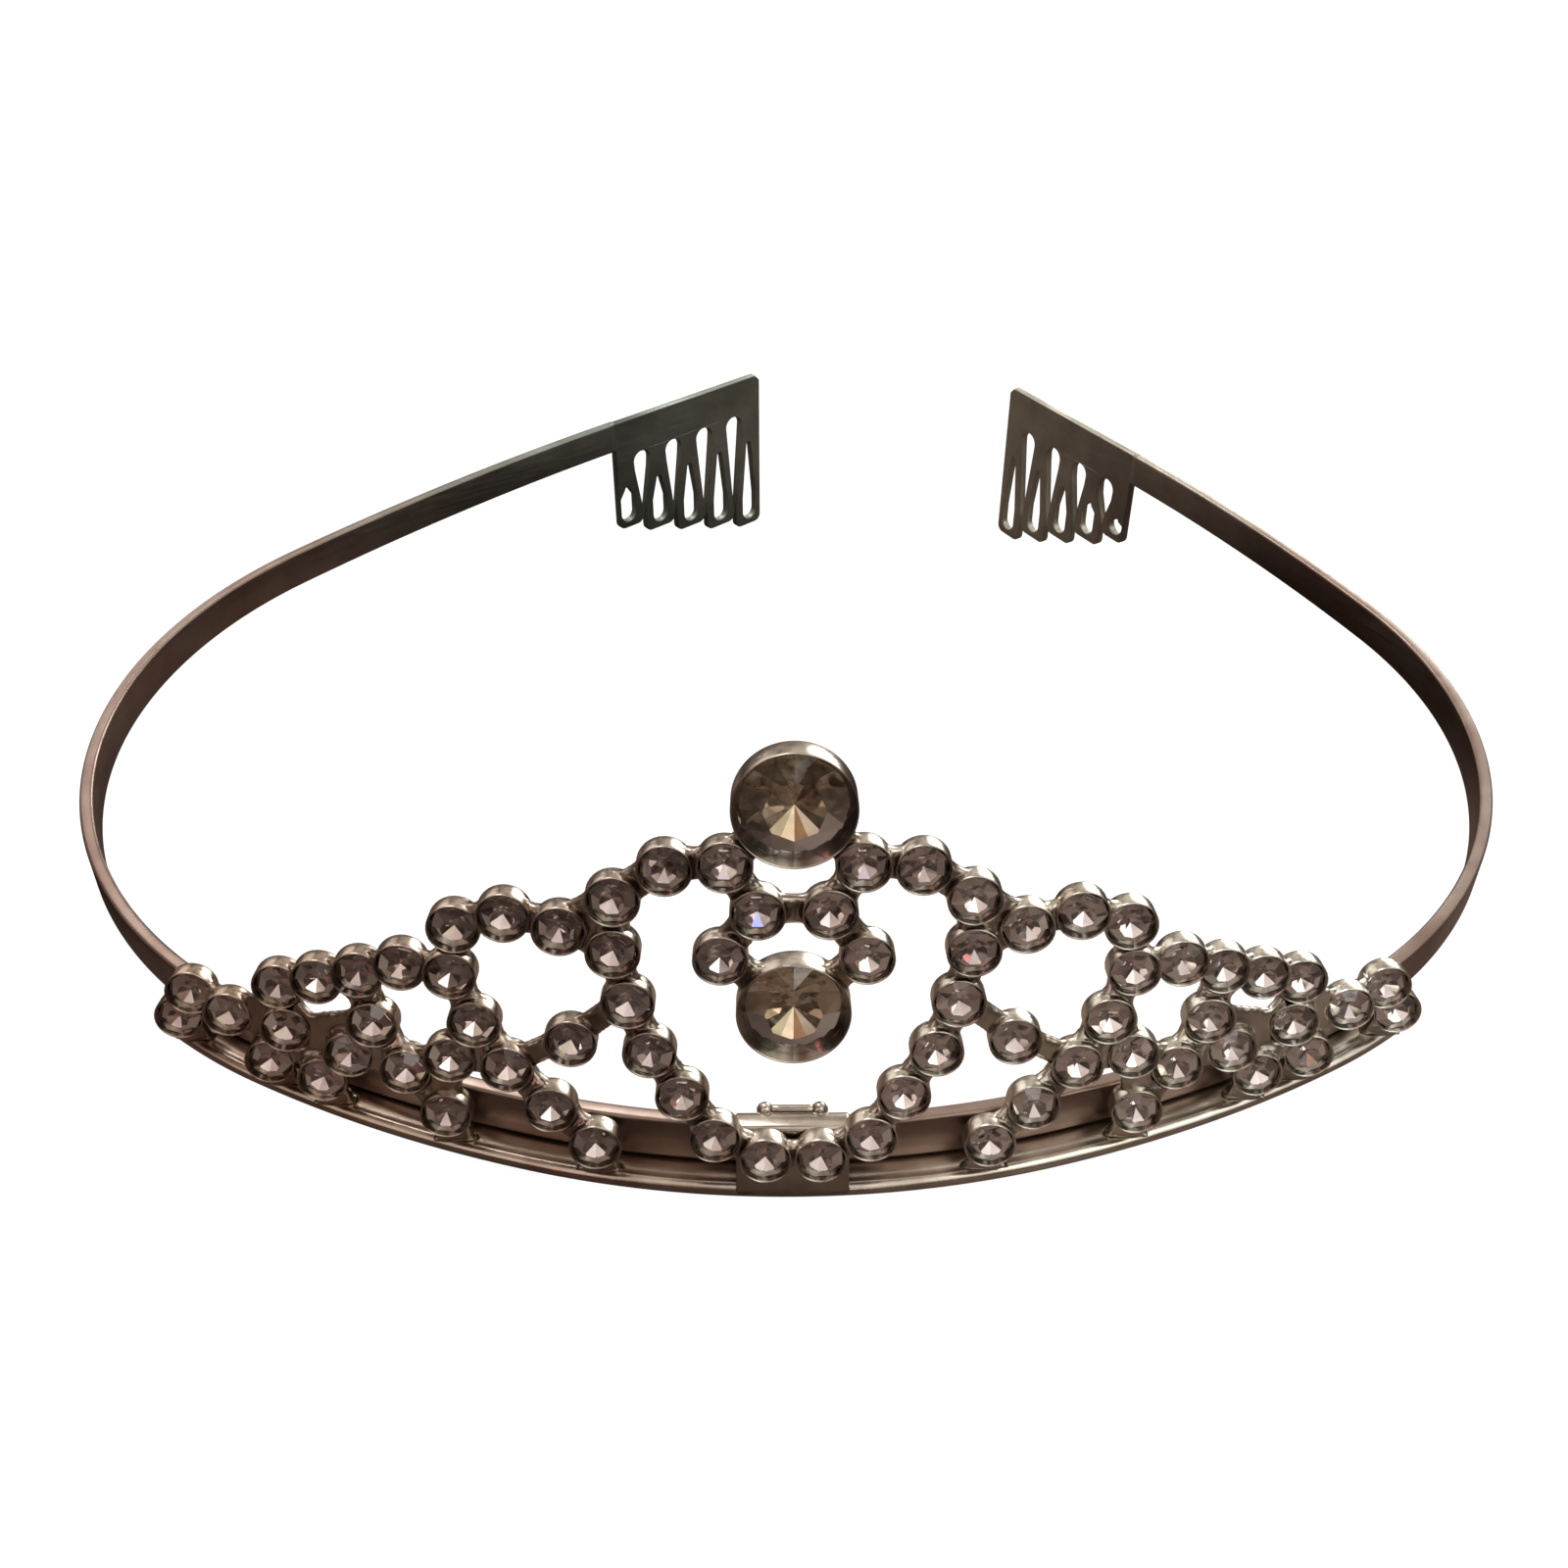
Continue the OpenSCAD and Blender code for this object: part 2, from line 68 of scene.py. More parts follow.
# A gap runs straight up from its foot to GAP_BEND above the tips, then widens to GAP_CLOSE of
# its half width
GAP_BEND, GAP_CLOSE = 2.2, 0.92
SLOT_TOP, SLOT_W, SLOT_NECK_W, TIP_WALL, TIP_CORNER = 9.7, 2.3, 0.7, 1.0, 1.0
RISE = {LEFT: 8.4, RIGHT: 11.0}
# How far the comb's root reaches into the strip, how far it stays inside the strip's edges,
# the cut corner of its top end and the rounding of its edges
ROOT, INSET, TOP_CORNER, COMB_EDGE = 0.6, 0.1, 0.8, 0.16
# Casting
FACE_OFF, LEAN = 3.4, math.radians(12)
CUP_D, CUP_DEPTH = 3.8, 1.7
TOP_CUP_D, LOWER_CUP_D, LARGE_DEPTH = 8.3, 7.9, 2.2
TOP_CUP_H, LOWER_CUP_H = 31.2, 15.8
NECK_REACH = 4.75
RAIL_OUT, LIP_H, RAIL_L = 2.3, 1.5, 51.2
# The ledge's surface from the nose to the strip: (in from the nose, up), with one ridge
LEDGE = [(0.32, -0.3), (0.48, -0.235), (0.66, -0.2), (0.78, -0.235), (1.1, -0.16), (1.5, -0.09)]
LEDGE_END = (0.3, -0.09)
TAB_W, TAB_T, TAB_BACK_H, FOLD_W = 7.6, 0.4, 2.2, 5.2
TAB_SIDE, TAB_ROLL = 0.3, 0.48
NUB_X, NUB_R, NUB_BAR_R = 2, 0.6, 0.36
SEAM = 0.05
# Length of the pieces that bends are drawn with
STEP = 0.8
REST_TILT = math.radians(7.3)

# Runs of small cups of one half: first s, first h, last s, last h, bulge, cups
ARCH_RUNS = [
    (4.7, 27.05, 8.8, 26.55, 0, 2),
    (12.4, 23.85, 11.4, 15.85, 0.5, 3),
    (9.9, 11.95, 5.4, 5.05, 0, 3),
    (1.9, 3.4, 1.9, 3.4, 0, 1),
    (2.45, 23.55, 5, 19.95, 0, 2),
]
WING_RUNS = [
    (16.2, 21.05, 24, 19.65, 1, 3),
    (24.4, 15.75, 20.2, 8.85, 0.4, 3),
    (17, 6.05, 13.8, 3.4, 0, 2),
    (15.5, 12.05, 15.5, 12.05, 0, 1),
    (28.3, 15.45, 39, 10.35, 0, 4),
    (30.8, 9.75, 35.3, 3.3, -0.2, 3),
    (38.5, 6.65, 40.1, 3.1, 0, 2),
    (24.6, 8.55, 28.2, 6.45, 0, 2),
    (25, 3.5, 25, 3.5, 0, 1),
    (44, 5.85, 47.9, 6.05, 0, 2),
    (49.3, 3, 49.3, 3, 0, 1),
]
# Webs of one wing, each a list of corners (s, h) on the face. The middle one leaves open
# a slot under the outer chain of cups
WEBS = [
    [(28.2, 6.45), (30.8, 9.75), (32.8, 6.5)],
    [(30.8, 9.75), (31.9, 13.4), (33.1, 11.7), (32.9, 10.5), (33.5, 9.7), (36.9, 8.2), (37.7, 8.9),
     (38.2, 10.3), (39.4, 10.2), (38.7, 6.65), (40.1, 3.1), (35.3, 3.3), (32.9, 6.5)],
    [(38.5, 7.2), (39.6, 9.9), (42, 8.2), (44, 7.1), (48, 7.1), (49.6, 3.4), (44, 4.3),
     (39.6, 4.2)],
]
# Cups closer than this, in threes, have the space between them filled
FILL_REACH = 5.3
# Bars between cups: width, and depths of their front and back behind the face
NECK = (2.3, 0.6, 1.55)
LONG_NECK = (1.9, 0.65, 1.5)
LARGE_NECK = (2.2, 0.65, 1.6)
BRIDGE = (2.1, 0.65, 1.55)
# Depths of the front and back of the webs and fills
SHEET = (0.75, 1.5)
# The lowest cups, below this height, stand on the rail: sizes of their stems and soles
FOOT_BELOW = 4
STEM_W, STEM_T, STEM_IN, SOLE_W, SOLE_T, SOLE_H = 2.3, 1.1, 0.55, 4.2, 0.9, 0.3
SOLE_OUT, SOLE_LOW = RAIL_OUT - 0.95, -0.5
# Fineness of the joined metal, how often its corners are softened, and the space cleared of
# it: inside a cup's rim by MELT_RIM, from MELT_FRONT before the face to MELT_BACK off the back
MELT_VOXEL, MELT_ROUNDS, MELT_RIM, MELT_FRONT, MELT_BACK = 0.28, 6, 0.13, 1.5, 0.07
# Core of a cup in the joined metal: inset at its side, depth of its front, inset at its back
CORE_IN, CORE_FRONT, CORE_BACK, CORE_SIDES = 0.03, 0.5, 0.08, 24
# Cups and stones
CUP_SIDES, LARGE_SIDES = 32, 96
RIM_T, BACK_T = 0.13, 0.12
# Points of a cup's profile before the rim's inner edge, where the inner wall begins
RIM_POINTS = 9
SMALL_SEAT, SMALL_GIRDLE = CUP_D / 2 - 0.23, 0.38
LARGE_WALL, LARGE_GIRDLE = 0.42, 0.68
SMALL_CUT = dict(crown=0.36, girdle=0.06, depth=1.16, table=0.52, mains=8, wedges=8)
LARGE_CUT = dict(crown=0.64, girdle=0.1, table=0.56, mains=8, wedges=16)
# How far a stone's girdle is sunk into the cup's wall, and the room behind a large stone
SMALL_SINK, LARGE_SINK, LARGE_ROOM = 0.02, 0.03, 0.04
# Spread of the small stones' crooked seats, in radians
WOBBLE = 0.045
# Wedges of the large stones, counted from the right over the top, with worn foil
WORN_WEDGES = (1, 3, 4, 6, 9)

# Camera, in the model's frame
CAMERA_AT = Vector((-2.106, -155.35, 84.94))
CAMERA_YAW, CAMERA_PITCH, CAMERA_ROLL = -0.705, 30.02, 0.139
LENS, SENSOR = 36.69, 36


# ---------------------------------------------------------------- the ring's plan


def turned(r, a, b):
    a, b = math.radians(a), math.radians(b)
    return Vector((r * (math.sin(b) - math.sin(a)), r * (math.cos(a) - math.cos(b))))


def plan(side):
    """Start, first heading, first length and radius of each bend of one side."""
    rows, p, a, s = [], Vector((0, 0)), 0.0, 0.0
    for r, turn in BENDS[side]:
        rows.append((p.copy(), a, s, r))
        p = p + turned(r, a, a + turn)
        a += turn
        s += r * math.radians(turn)
    rows.append((p, a, s, None))
    return rows


PLAN = {side: plan(side) for side in (LEFT, RIGHT)}


def side_of(s):
    return LEFT if s < 0 else RIGHT


def at(s, out=0.0):
    """Plan point at the length s, moved out from the strip's outer face, and its heading."""
    side = side_of(s)
    rows = PLAN[side]
    l = abs(s)
    i = max(k for k in range(len(rows)) if k == 0 or rows[k][2] <= l + 1e-9)
    p, a, s0, r = rows[i]
    if r is None:
        h = math.radians(a)
        q = p + Vector((math.cos(h), math.sin(h))) * (l - s0)
    else:
        b = a + math.degrees((l - s0) / r)
        q = p + turned(r, a, b)
        h = math.radians(b)
    return Vector((side * (q.x + out * math.sin(h)), q.y - out * math.cos(h))), side * h


def on_face(s, h, d=0.0):
    """Point of the leaning face at s and h, d behind it."""
    p, _ = at(s, FACE_OFF - h * math.sin(LEAN) - d * math.cos(LEAN))
    return Vector((p.x, p.y, h * math.cos(LEAN) - d * math.sin(LEAN)))


def rest_z(y):
    return -LIP_H - (y + RAIL_OUT - LIP_H / 2) * math.tan(REST_TILT)


def gap_u(i):
    return 0 if i == 0 else COMB_L if i > GAPS else FIRST_GAP + (i - 1) * TOOTH_PITCH


def tip_depth(side):
    p, a, _, _ = PLAN[side][-1]
    h = math.radians(a)
    y = p.y + (gap_u(GAPS) + TIP_CORNER) * math.sin(h) + STRIP_T * math.cos(h)
    return STRIP_H - rest_z(y)


def tips_at(side, u):
    return tip_depth(side) - RISE[side] * (1 - u / COMB_L)


def widest(side):
    """How far the ring's outer face reaches sideways: where its heading is 90 degrees."""
    p, a, _, r = PLAN[side][2]
    return p.x + turned(r, a, 90).x


def laid():
    """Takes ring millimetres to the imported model's metres."""
    low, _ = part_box("headband")
    drop = LIP_H * math.cos(REST_TILT) + (RAIL_OUT - LIP_H / 2) * math.sin(REST_TILT)
    x = (widest(LEFT) - widest(RIGHT)) / 2
    y = low.y / MM + STRIP_H * math.sin(REST_TILT)
    move = Matrix.Translation(Vector((x, y, drop)))
    return Matrix.Scale(MM, 4) @ move @ Matrix.Rotation(REST_TILT, 4, "X")


LAID = laid()


# ---------------------------------------------------------------- mesh making


class Shape:
    """Vertices and faces in ring millimetres, each face with its material's index."""

    def __init__(self):
        self.verts, self.faces, self.mats, self.flat = [], [], [], []

    def add(self, verts, faces, mats=None, flat=False, place=None):
        """Adds a form. mats lists each face's material; without it all have the first."""
        n = len(self.verts)
        self.verts += [place @ v if place else v for v in verts]
        self.faces += [tuple(n + i for i in f) for f in faces]
        self.mats += mats or [0] * len(faces)
        self.flat += [flat] * len(faces)

    def piece(self, name, materials, slot, *nodes):
        mesh = bpy.data.meshes.new(name)
        mesh.from_pydata([LAID @ v for v in self.verts], [], self.faces)
        for m in materials:
            mesh.materials.append(m)
        for poly, mat, flat in zip(mesh.polygons, self.mats, self.flat):
            poly.material_index = mat
            poly.use_smooth = not flat
        mesh.update()
        obj = bpy.data.objects.new(name, mesh)
        bpy.context.scene.collection.objects.link(obj)
        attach(obj, "root")
        if nodes:
            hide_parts(*nodes)
        return obj


def loft(rings):
    """Faces between rings of equal length, with flat ends."""
    n = len(rings[0])
    verts = [v for r in rings for v in r]
    faces = []
    for k in range(len(rings) - 1):
        for j in range(n):
            a, b = k * n + j, k * n + (j + 1) % n
            faces.append((a, b, b + n, a + n))
    faces.append(tuple(reversed(range(n))))
    faces.append(tuple((len(rings) - 1) * n + j for j in range(n)))
    return verts, faces


def lathe(profile, sides):
    """A profile of (radius, depth) turned about the depth axis, y, closed at both ends."""
    turns = [2 * math.pi * j / sides for j in range(sides)]
    return loft([[Vector((r * math.cos(a), y, r * math.sin(a))) for a in turns]
                 for r, y in profile])


def rounded_section(w, h, r):
    """Points of a rounded rectangle round the origin, w wide and h high."""
    n, pts = 4, []
    for cx, cy, a0 in ((1, 1, 0), (-1, 1, 90), (-1, -1, 180), (1, -1, 270)):
        for k in range(n + 1):
            a = math.radians(a0 + 90 * k / n)
            pts.append((cx * (w / 2 - r) + r * math.cos(a), cy * (h / 2 - r) + r * math.sin(a)))
    return pts


def steps(a, b, step):
    n = max(1, math.ceil((b - a) / step))
    return [a + (b - a) * k / n for k in range(n + 1)]


# ---------------------------------------------------------------- materials

# Colours of the cast metal from dark to light, its tints at the left and right, painted shade at
# the left and painted light at the right, its yellow tarnish, and the painted shade in its corners
CAST_TONES = ((0.40, 0.36, 0.325), (0.60, 0.565, 0.52))
CAST_SHADE_LEFT, CAST_LIGHT_RIGHT = (0.73, 0.63, 0.58), (1.28, 1.40, 1.43)
TARNISH, CORNER_SHADE = (0.40, 0.335, 0.21), (0.14, 0.10, 0.08)
# Colours, dark and light, of the strip in front, its reddish brown a painted reflection of the
# brown table, and of the combs, the left comb darker as painted shade and the right lighter as
# painted light
BAND_FRONT_REFLECTION = ((0.24, 0.165, 0.135), (0.33, 0.255, 0.22))
BAND_SHADE_LEFT = ((0.22, 0.265, 0.24), (0.33, 0.375, 0.34))
BAND_LIGHT_RIGHT = ((0.44, 0.43, 0.37), (0.64, 0.62, 0.54))
# Tint of the foils at the left, painted shade on that side
FOIL_SHADE_LEFT = (0.73, 0.65, 0.62)
GLASS_IOR = 1.6
# Board seen by the camera: colours, glow and its share. Table seen by the metal: colours
BOARD = ((0.86, 0.86, 0.86), (0.9, 0.9, 0.89))
BOARD_GLOW, BOARD_SHARE = 1.12, 0.86
TABLE = ((0.02, 0.014, 0.012), (0.12, 0.09, 0.075), (0.30, 0.24, 0.21))


def material(name):
    m = bpy.data.materials.new(name)
    m.use_nodes = True
    nodes, links = m.node_tree.nodes, m.node_tree.links
    nodes.clear()
    out = nodes.new("ShaderNodeOutputMaterial")
    bsdf = nodes.new("ShaderNodeBsdfPrincipled")
    links.new(bsdf.outputs[0], out.inputs[0])
    return m, nodes, links, bsdf


def coordinates(nodes, links):
    """The place in the object, and its x, y and z."""
    coords = nodes.new("ShaderNodeTexCoord").outputs["Object"]
    split = nodes.new("ShaderNodeSeparateXYZ")
    links.new(coords, split.inputs[0])
    return coords, split.outputs


def noise(nodes, links, coords, scale, detail=4.0):
    n = nodes.new("ShaderNodeTexNoise")
    n.inputs["Scale"].default_value = scale
    n.inputs["Detail"].default_value = detail
    n.inputs["Roughness"].default_value = 0.55
    links.new(coords, n.inputs["Vector"])
    return n.outputs["Fac"]


def ramp(nodes, links, fac, stops):
    r = nodes.new("ShaderNodeValToRGB")
    stops = list(stops)
    while len(r.color_ramp.elements) < len(stops):
        r.color_ramp.elements.new(0.5)
    for e, (pos, col) in zip(r.color_ramp.elements, stops):
        e.position = pos
        e.color = (*col, 1)
    links.new(fac, r.inputs[0])
    return r.outputs[0]


def mix(nodes, links, fac, a, b, how="MIX"):
    m = nodes.new("ShaderNodeMix")
    m.data_type = "RGBA"
    m.blend_type = how
    for socket, value in (("Factor", fac), ("A", a), ("B", b)):
        s = next(i for i in m.inputs if i.name == socket and i.enabled)
        if isinstance(value, bpy.types.NodeSocket):
            links.new(value, s)
        else:
            s.default_value = value if socket == "Factor" else (*value, 1)
    return next(o for o in m.outputs if o.enabled)


def span(nodes, links, value, a, b, c, d):
    m = nodes.new("ShaderNodeMapRange")
    for k, v in zip((1, 2, 3, 4), (a, b, c, d)):
        m.inputs[k].default_value = v
    links.new(value, m.inputs[0])
    return m.outputs[0]


def cast_metal(name, shade):
    """Polished pot metal: warm grey, with fine pits and wear, yellow tarnish, painted shade in its
    corners and at its left, and painted light at its right. shade below 1 gives a darker copy,
    painted shade.
    """
    m, nodes, links, bsdf = material(name)
    coords, (x, _, _) = coordinates(nodes, links)
    cloud = noise(nodes, links, coords, 240)
    fine = noise(nodes, links, coords, 2600, 3)
    base = ramp(nodes, links, cloud, zip((0.36, 0.62), CAST_TONES))
    # Painted light and shade: the right side lighter and cooler, the left darker and warmer, as the
    # light falls from the right
    lit_right = span(nodes, links, x, -0.04, 0.045, 0.0, 1.0)
    base = mix(nodes, links, lit_right, mix(nodes, links, 1.0, base, CAST_SHADE_LEFT, "MULTIPLY"),
               mix(nodes, links, 1.0, base, CAST_LIGHT_RIGHT, "MULTIPLY"))
    yellow = span(nodes, links, noise(nodes, links, coords, 90, 2), 0.56, 0.68, 0.0, 0.5)
    base = mix(nodes, links, yellow, base, TARNISH)
    # Painted shade: the colour darkens towards a dark brown where ambient occlusion finds corners
    # and gaps between parts
    ao = nodes.new("ShaderNodeAmbientOcclusion")
    ao.inputs["Distance"].default_value = 0.8 * MM
    ao.samples = 6
    corner_shade = span(nodes, links, ao.outputs["AO"], 0.2, 0.75, 0.75, 0.0)
    col = mix(nodes, links, corner_shade, base, CORNER_SHADE)
    # The colour times shade: below 1 this is a darker copy of the metal, painted shade
    col = mix(nodes, links, 1.0, col, (shade, shade * 0.95, shade * 0.9), "MULTIPLY")
    links.new(col, bsdf.inputs["Base Color"])
    bsdf.inputs["Metallic"].default_value = 1.0
    links.new(span(nodes, links, fine, 0.3, 0.75, 0.19, 0.27), bsdf.inputs["Roughness"])
    soft = nodes.new("ShaderNodeBevel")
    soft.samples = 4
    soft.inputs["Radius"].default_value = 0.12 * MM
    bump = nodes.new("ShaderNodeBump")
    bump.inputs["Strength"].default_value = 0.04
    bump.inputs["Distance"].default_value = 0.03 * MM
    links.new(noise(nodes, links, coords, 1300, 3), bump.inputs["Height"])
    links.new(soft.outputs[0], bump.inputs["Normal"])
    links.new(bump.outputs[0], bsdf.inputs["Normal"])
    return m


def band_metal():
    """Plated steel, finely brushed along its length: brown grey in front, where its reddish tint is
    a painted reflection of the brown table, and green grey at the combs, the left comb darker as
    painted shade and the right one lighter as painted light.
    """
    m, nodes, links, bsdf = material("band_metal")
    coords, (x, y, _) = coordinates(nodes, links)
    cloud = noise(nodes, links, coords, 130)
    # Painted reflection: the strip's front is tinted reddish brown for the brown table it mirrors
    front, left, right = (ramp(nodes, links, cloud, zip((0.35, 0.65), tones))
                          for tones in (BAND_FRONT_REFLECTION, BAND_SHADE_LEFT, BAND_LIGHT_RIGHT))
    # Painted light and shade: the right comb lighter, the left comb darker, as the light falls from
    # the right
    rear = mix(nodes, links, span(nodes, links, x, -0.02, 0.02, 0.0, 1.0), left, right)
    back = span(nodes, links, y, 0.01, 0.055, 0.0, 1.0)
    links.new(mix(nodes, links, back, front, rear), bsdf.inputs["Base Color"])
    bsdf.inputs["Metallic"].default_value = 1.0
    stretch = nodes.new("ShaderNodeVectorMath")
    stretch.operation = "MULTIPLY"
    stretch.inputs[1].default_value = (180, 180, 5200)
    links.new(coords, stretch.inputs[0])
    brushed = noise(nodes, links, stretch.outputs[0], 1.0, 3)
    rough = span(nodes, links, back, 0, 1, 0.28, 0.42)
    grain = span(nodes, links, brushed, 0.3, 0.7, 0.0, 0.16)
    total = nodes.new("ShaderNodeMath")
    links.new(rough, total.inputs[0])
    links.new(grain, total.inputs[1])
    links.new(total.outputs[0], bsdf.inputs["Roughness"])
    bump = nodes.new("ShaderNodeBump")
    bump.inputs["Strength"].default_value = 0.12
    bump.inputs["Distance"].default_value = 0.02 * MM
    links.new(brushed, bump.inputs["Height"])
    links.new(bump.outputs[0], bsdf.inputs["Normal"])
    return m


def glass(name, tint):
    """The clear front of a stone."""
    m, nodes, links, bsdf = material(name)
    coords, _ = coordinates(nodes, links)
    worn = noise(nodes, links, coords, 900, 2)
    bsdf.inputs["Base Color"].default_value = (*tint, 1)
    bsdf.inputs["Transmission Weight"].default_value = 1.0
    bsdf.inputs["IOR"].default_value = GLASS_IOR
    links.new(span(nodes, links, worn, 0.4, 0.8, 0.0, 0.05), bsdf.inputs["Roughness"])
    return m


def foil(name, dark, light, worn):
    """The mirror on the back of a stone, unevenly tarnished, dull where it is worn, darker and
    warmer at the left as painted shade.
    """
    m, nodes, links, bsdf = material(name)
    coords, (x, _, _) = coordinates(nodes, links)
    cloud = noise(nodes, links, coords, 420, 2)
    base = ramp(nodes, links, cloud, zip((0.35, 0.65), (dark, light)))
    # Painted shade: the foils at the left are darkened and warmed, as the light falls from the
    # right
    lit_right = span(nodes, links, x, -0.04, 0.03, 0.0, 1.0)
    warm = mix(nodes, links, 1.0, base, FOIL_SHADE_LEFT, "MULTIPLY")
    links.new(mix(nodes, links, lit_right, warm, base), bsdf.inputs["Base Color"])
    dull = noise(nodes, links, coords, 750, 2)
    links.new(span(nodes, links, dull, 0.38, 0.62, 1.0, worn), bsdf.inputs["Metallic"])
    bsdf.inputs["Roughness"].default_value = 0.06
    return m


def floor_paint():
    """Near-white board. What the metal mirrors of it is a dark brown table round the board."""
    m, nodes, links, bsdf = material("floor_paint")
    coords, _ = coordinates(nodes, links)
    cloud = noise(nodes, links, coords, 6)
    links.new(ramp(nodes, links, cloud, zip((0.3, 0.7), BOARD)), bsdf.inputs["Base Color"])
    bsdf.inputs["Roughness"].default_value = 0.7
    glow = nodes.new("ShaderNodeEmission")
    glow.inputs["Strength"].default_value = BOARD_GLOW
    board = nodes.new("ShaderNodeMixShader")
    board.inputs[0].default_value = BOARD_SHARE
    links.new(bsdf.outputs[0], board.inputs[1])
    links.new(glow.outputs[0], board.inputs[2])
    table = nodes.new("ShaderNodeBsdfDiffuse")
    patch = noise(nodes, links, coords, 9, 1.5)
    links.new(ramp(nodes, links, patch, zip((0.4, 0.52, 0.66), TABLE)), table.inputs["Color"])
    seen = nodes.new("ShaderNodeLightPath").outputs["Is Camera Ray"]
    both = nodes.new("ShaderNodeMixShader")
    links.new(seen, both.inputs[0])
    links.new(table.outputs[0], both.inputs[1])
    links.new(board.outputs[0], both.inputs[2])
    out = next(n for n in nodes if n.type == "OUTPUT_MATERIAL")
    links.new(both.outputs[0], out.inputs[0])
    return m


CAST, BAND = cast_metal("cast_metal", 1.0), band_metal()
# Inside of the cups, a darker copy of the metal: painted shade in their hollows
CUP_WALL_SHADE = cast_metal("cup_wall", 0.5)
SMALL_FRONT = glass("clear_glass", (0.96, 0.92, 0.91))
SMALL_BACK = foil("clear_foil", (0.74, 0.69, 0.68), (0.97, 0.95, 0.94), 0.86)
LARGE_FRONT = glass("smoky_glass", (0.91, 0.86, 0.73))
LARGE_BACK = foil("smoky_foil", (0.74, 0.67, 0.58), (0.95, 0.91, 0.85), 0.82)
LARGE_WORN = foil("worn_foil", (0.80, 0.70, 0.60), (0.98, 0.90, 0.80), 0.35)


# ---------------------------------------------------------------- cups and stones


def run_cups(runs):
    """Every cup (s, h) of the runs of one half."""
    out = []
    for s0, h0, s1, h1, bulge, count in runs:
        n = max(count - 1, 1)
        ds, dh = s1 - s0, h1 - h0
        l = max(math.hypot(ds, dh), 0.02)
        for k in range(count):
            t = k / n
            b = bulge * 4 * t * (1 - t)
            out.append((s0 + ds * t - dh / l * b, h0 + dh * t + ds / l * b))
    return out


ARCH, WING = run_cups(ARCH_RUNS), run_cups(WING_RUNS)
HALF = ARCH + WING


def flip(c, side):
    return side * c[0], c[1]


def cup_place(c):
    """Frame of a cup: its -y looks out of the face."""
    return Matrix.Translation(on_face(*c)) @ Matrix.Rotation(-LEAN, 4, "X")


def cup_profile(r, depth, seat, girdle):
    """Cup with a thin rounded rim, an inner wall sloping to the stone and a flat back."""
    e = RIM_T
    return [
        (0.05, depth), (r - 0.3, depth), (r - 0.1, depth - 0.05), (r - 0.03, depth - 0.15),
        (r, depth - 0.3), (r, 0.14), (r - e * 0.15, 0.05), (r - e * 0.45, 0), (r - e * 0.75, 0.02),
        (r - e, 0.1), (seat + 0.03, girdle - 0.1), (seat, girdle), (seat - 0.06, girdle + 0.12),
        (seat - 0.08, depth - BACK_T), (0.05, depth - BACK_T),
    ]


def cut_stone(r, crown, girdle, depth, table, mains, wedges):
    """Round stone, its table at y = 0: a table and slopes in front, plain wedges behind."""

    def ring(count, radius, y):
        a = [2 * math.pi * k / count for k in range(count)]
        return [Vector((radius * math.cos(t), y, radius * math.sin(t))) for t in a]

    n, m = mains, wedges
    step = m // n
    verts = ring(n, r * table, 0) + ring(m, r, crown) + ring(m, r, crown + girdle)
    verts.append(Vector((0, depth, 0)))
    # First vertex of the girdle's front edge and of its back edge, and the point behind
    edge, rear, tip = n, n + m, n + 2 * m
    front = [tuple(range(n))]
    for k in range(n):
        g = [edge + (k * step + j) % m for j in range(-(step // 2), step - step // 2 + 1)]
        front += [(k, g[j + 1], g[j]) for j in range(len(g) - 1)]
        front.append((k, (k + 1) % n, g[-1]))
    front += [(edge + j, rear + j, rear + (j + 1) % m, edge + (j + 1) % m) for j in range(m)]
    back = [(rear + j, tip, rear + (j + 1) % m) for j in range(m)]
    return verts, front, back


def add_stone(shape, place, cut, worn=()):
    """Adds a cut stone; the wedges listed in worn have the third material."""
    verts, front, back = cut
    mats = [0] * len(front) + [2 if j in worn else 1 for j in range(len(back))]
    shape.add(verts, front + back, mats, True, place)


def small_stones(name, cups, *nodes):
    shape = Shape()
    cut = cut_stone(SMALL_SEAT + SMALL_SINK, **SMALL_CUT)
    for c in cups:
        turn = Matrix.Rotation(random.uniform(0, 2 * math.pi), 4, "Y")
        wobble = Matrix.Rotation(random.gauss(0, WOBBLE), 4, "X")
        wobble @= Matrix.Rotation(random.gauss(0, WOBBLE), 4, "Z")
        sink = Matrix.Translation(Vector((0, SMALL_GIRDLE - SMALL_CUT["crown"], 0)))
        add_stone(shape, cup_place(c) @ sink @ wobble @ turn, cut)
    return shape.piece(name, [SMALL_FRONT, SMALL_BACK], "clear_glass", *nodes)


def large_stone(name, h, d, *nodes):
    shape = Shape()
    top = LARGE_GIRDLE - LARGE_CUT["crown"]
    depth = LARGE_DEPTH - BACK_T - LARGE_ROOM - top
    cut = cut_stone(d / 2 - LARGE_WALL + LARGE_SINK, depth=depth, **LARGE_CUT)
    add_stone(shape, cup_place((0, h)) @ Matrix.Translation(Vector((0, top, 0))), cut, WORN_WEDGES)
    return shape.piece(name, [LARGE_FRONT, LARGE_BACK, LARGE_WORN], "smoky_glass", *nodes)


# ---------------------------------------------------------------- casting

# Every cup of the casting: place, radius and depth
CUPS = [(cup_place(flip(c, side)), CUP_D / 2, CUP_DEPTH) for side in (LEFT, RIGHT) for c in HALF]
CUPS += [(cup_place((0, TOP_CUP_H)), TOP_CUP_D / 2, LARGE_DEPTH),
         (cup_place((0, LOWER_CUP_H)), LOWER_CUP_D / 2, LARGE_DEPTH)]


def prism(front, back):
    """Solid between two outlines of equal length."""
    return loft([front, back])


